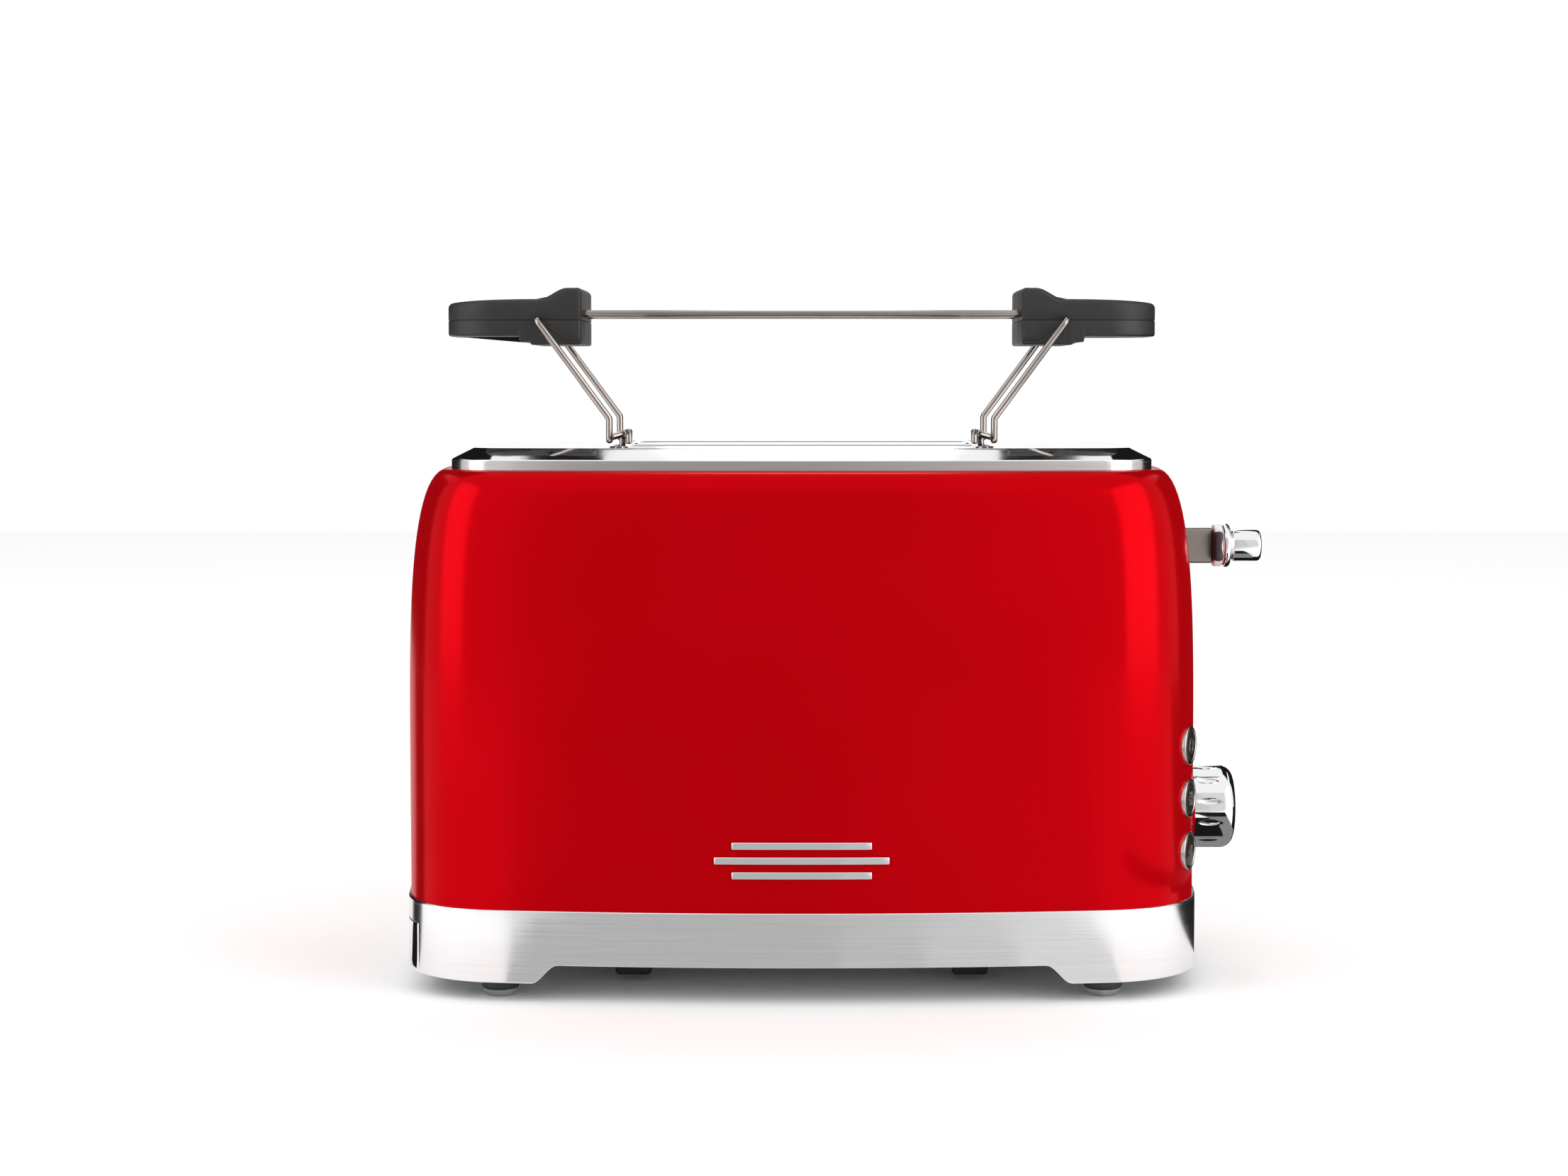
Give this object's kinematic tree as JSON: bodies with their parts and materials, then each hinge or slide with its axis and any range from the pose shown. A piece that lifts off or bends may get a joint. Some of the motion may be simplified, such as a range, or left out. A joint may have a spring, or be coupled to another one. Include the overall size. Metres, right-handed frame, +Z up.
{
  "type": "pop-up toaster",
  "caption": "Two-slot pop-up toaster with lacquered shell, bright base ring, side lever, dial, push buttons, crumb tray and a lift-off bun rack on folding wire legs.",
  "frame": {"origin": "on the floor, under the middle of the whole object's box", "axes": "+X along the bread slots towards the lever, +Y towards the back, +Z up"},
  "size_m": [0.3106, 0.17, 0.2465],
  "materials": {
    "red_lacquer": "high gloss red lacquer",
    "polished_chrome": "polished",
    "satin_ring": "satin, brushed along its length",
    "brushed_lever": "brushed",
    "rack_wire_steel": "plated wire",
    "inner_steel": "mill finish",
    "guard_wire": "plated wire, heat tinted",
    "zinc_sheet": "zinc coated sheet",
    "black_plastic": "fine texture",
    "textured_grip": "spark-eroded texture",
    "grey_plastic": "fine texture",
    "smoked_button": "smoked, glossy",
    "grey_rubber": "matte",
    "mica": "layered sheet",
    "heating_ribbon": "oxidised ribbon",
    "copper_coil": "enamelled wire",
    "circuit_board": "lacquered laminate"
  },
  "bodies": {
    "chassis": {"base_ring": "satin_ring", "base_plate": "zinc_sheet", "foot_bosses": "black_plastic", "foot_pads": "grey_rubber", "cord_pegs": "black_plastic", "cord_gland": "black_plastic", "base_screws": "inner_steel", "tray_rails": "zinc_sheet", "body_shell": "red_lacquer", "top_plate": "polished_chrome", "end_frame_left": "zinc_sheet", "end_frame_right": "zinc_sheet", "reflector_front": "inner_steel", "reflector_back": "inner_steel", "element_front": "mica", "element_middle": "mica", "element_back": "mica", "element_ribbons": "heating_ribbon", "guide_rods": "inner_steel", "return_springs": "inner_steel", "magnet_core": "zinc_sheet", "magnet_coils": "copper_coil", "board_bracket": "zinc_sheet", "control_board": "circuit_board", "pot_body": "grey_plastic", "button_board": "circuit_board", "button_switches": "black_plastic", "button_rims": "polished_chrome", "terminal_block": "grey_plastic", "front_badge": "polished_chrome"},
    "carriage": {"carriage_plate": "inner_steel", "bread_lift_front": "inner_steel", "bread_lift_back": "inner_steel", "latch_keeper": "zinc_sheet", "lever_arm": "brushed_lever", "lever_collar": "grey_plastic", "lever_flange": "polished_chrome", "lever_knob": "polished_chrome"},
    "front_outer_guard": {"guard_front_outer": "guard_wire"},
    "front_inner_guard": {"guard_front_inner": "guard_wire"},
    "back_inner_guard": {"guard_back_inner": "guard_wire"},
    "back_outer_guard": {"guard_back_outer": "guard_wire"},
    "dial": {"dial_knob": "polished_chrome", "dial_shaft": "inner_steel"},
    "reheat": {"reheat_button": "smoked_button"},
    "defrost": {"defrost_button": "smoked_button"},
    "cancel": {"cancel_button": "smoked_button"},
    "tray": {"crumb_tray": "inner_steel", "tray_pull": "polished_chrome"},
    "rack": {"rack_wires": "rack_wire_steel", "grip_top_left": "textured_grip", "grip_top_right": "textured_grip", "grip_base_left": "textured_grip", "grip_base_right": "textured_grip"},
    "leg_left": {"rack_leg_left": "rack_wire_steel"},
    "leg_right": {"rack_leg_right": "rack_wire_steel"}
  },
  "joints": [
    {"name": "lever_press", "type": "slide", "parent": "chassis", "child": "carriage", "axis": [0, 0, -1], "range_m": [0, 0.047], "stiffness_N_per_m": 60, "springref_m": -0.05, "deforming": ["return_springs"]},
    {"name": "front_outer_close", "type": "slide", "parent": "chassis", "child": "front_outer_guard", "axis": [0, 1, 0], "range_m": [0, 0.005]},
    {"name": "front_inner_close", "type": "slide", "parent": "chassis", "child": "front_inner_guard", "axis": [0, -1, 0], "range_m": [0, 0.005]},
    {"name": "back_inner_close", "type": "slide", "parent": "chassis", "child": "back_inner_guard", "axis": [0, 1, 0], "range_m": [0, 0.005]},
    {"name": "back_outer_close", "type": "slide", "parent": "chassis", "child": "back_outer_guard", "axis": [0, -1, 0], "range_m": [0, 0.005]},
    {"name": "dial_turn", "type": "hinge", "parent": "chassis", "child": "dial", "pos_m": [0.1367, 0, 0.0564], "axis": [1, 0, 0], "range_deg": [-140, 140]},
    {"name": "reheat_press", "type": "slide", "parent": "chassis", "child": "reheat", "axis": [-0.9135, 0.4067, 0], "range_m": [0, 0.0015], "stiffness_N_per_m": 500, "springref_m": -0.0015},
    {"name": "defrost_press", "type": "slide", "parent": "chassis", "child": "defrost", "axis": [-0.9135, 0.4067, 0], "range_m": [0, 0.0015], "stiffness_N_per_m": 500, "springref_m": -0.0015},
    {"name": "cancel_press", "type": "slide", "parent": "chassis", "child": "cancel", "axis": [-0.9135, 0.4067, 0], "range_m": [0, 0.0015], "stiffness_N_per_m": 500, "springref_m": -0.0015},
    {"name": "tray_pull_out", "type": "slide", "parent": "chassis", "child": "tray", "axis": [-1, 0, 0], "range_m": [0, 0.2]},
    {"name": "rack_lift", "type": "slide", "parent": "chassis", "child": "rack", "axis": [0, 0, 1], "range_m": [0, 0.04]},
    {"name": "left_leg_fold", "type": "hinge", "parent": "rack", "child": "leg_left", "pos_m": [-0.1076, 0, 0.235], "axis": [0, -1, 0], "range_deg": [0, 50]},
    {"name": "right_leg_fold", "type": "hinge", "parent": "rack", "child": "leg_right", "pos_m": [0.081, 0, 0.235], "axis": [0, 1, 0], "range_deg": [0, 50]}
  ],
  "couplings": [
    {"joint": "front_outer_close", "follows": "lever_press", "ratio": 0.1063},
    {"joint": "front_inner_close", "follows": "lever_press", "ratio": 0.1063},
    {"joint": "back_inner_close", "follows": "lever_press", "ratio": 0.1063},
    {"joint": "back_outer_close", "follows": "lever_press", "ratio": 0.1063}
  ]
}
